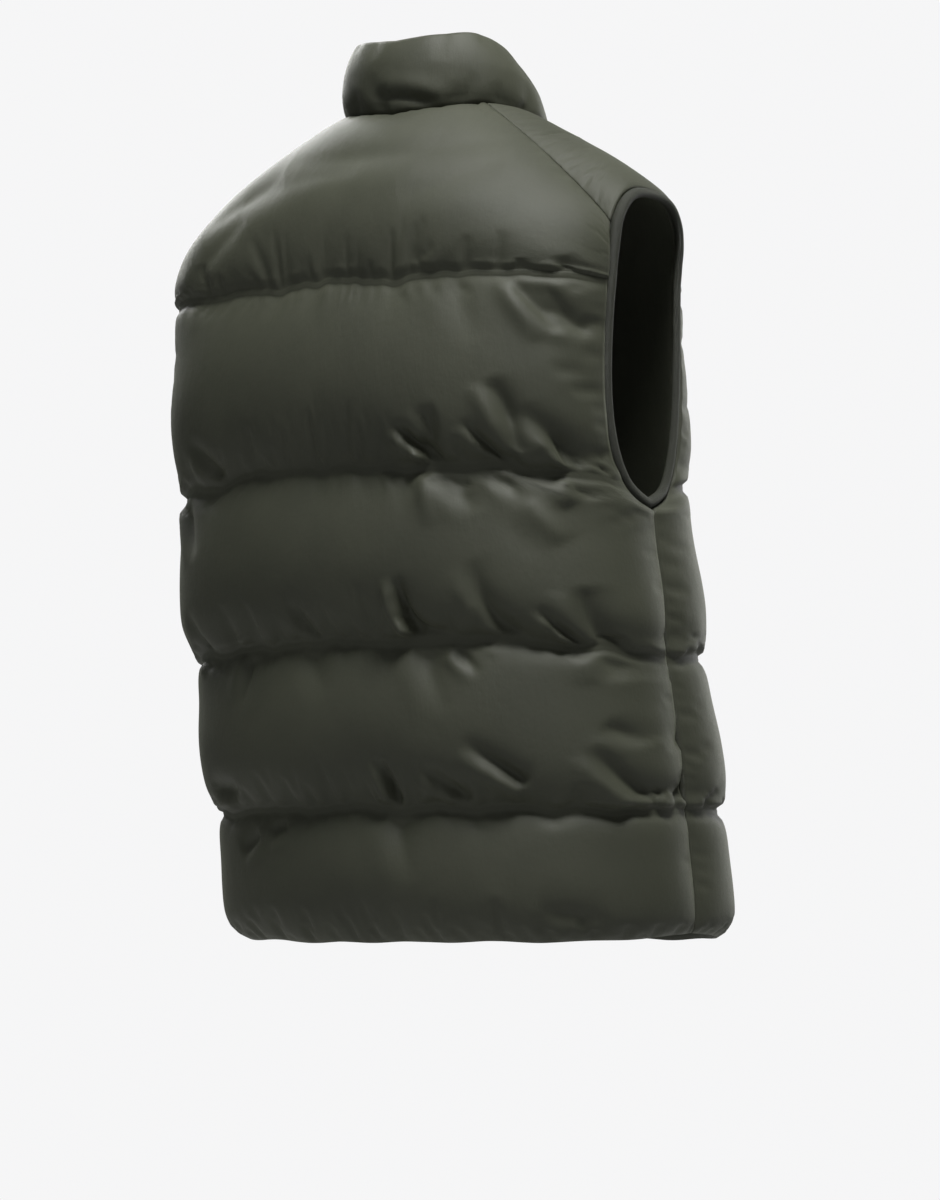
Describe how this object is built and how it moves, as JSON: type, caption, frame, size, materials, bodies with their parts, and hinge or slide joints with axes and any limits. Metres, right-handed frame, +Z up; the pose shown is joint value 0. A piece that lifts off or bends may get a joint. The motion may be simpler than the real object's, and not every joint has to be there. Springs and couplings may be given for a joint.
{
  "type": "puffer vest",
  "caption": "Worn, hollow puffer vest with horizontal quilted channels, a padded stand collar, bound armholes and a closed front zip.",
  "frame": {"origin": "midway between the two shoulders, level with the middle of the shoulder line, where the wearer's shoulders carry the vest", "axes": "+Z up, the front faces -Y, the wearer's left is +X"},
  "size_m": [0.4465, 0.3411, 0.7296],
  "materials": {
    "shell": "matt woven shell with a soft sheen",
    "trim": "matt folded binding",
    "zip_tape": "matt woven tape",
    "zip_metal": "dark satin"
  },
  "bodies": {
    "vest": {"back_panel": "shell", "front_panel_left": "shell", "front_panel_right": "shell", "collar": "shell", "armhole_binding_left": "trim", "armhole_binding_right": "trim", "zip_tape_left": "zip_tape", "zip_tape_right": "zip_tape", "zip_slider": "zip_metal"},
    "zip_pull": {"zip_pull": "zip_metal"}
  },
  "joints": [
    {"name": "zip_pull_hinge", "type": "hinge", "parent": "vest", "child": "zip_pull", "pos_m": [0, -0.08408, 0.00986], "axis": [-1, 0, 0], "range_deg": [0, 160]}
  ]
}
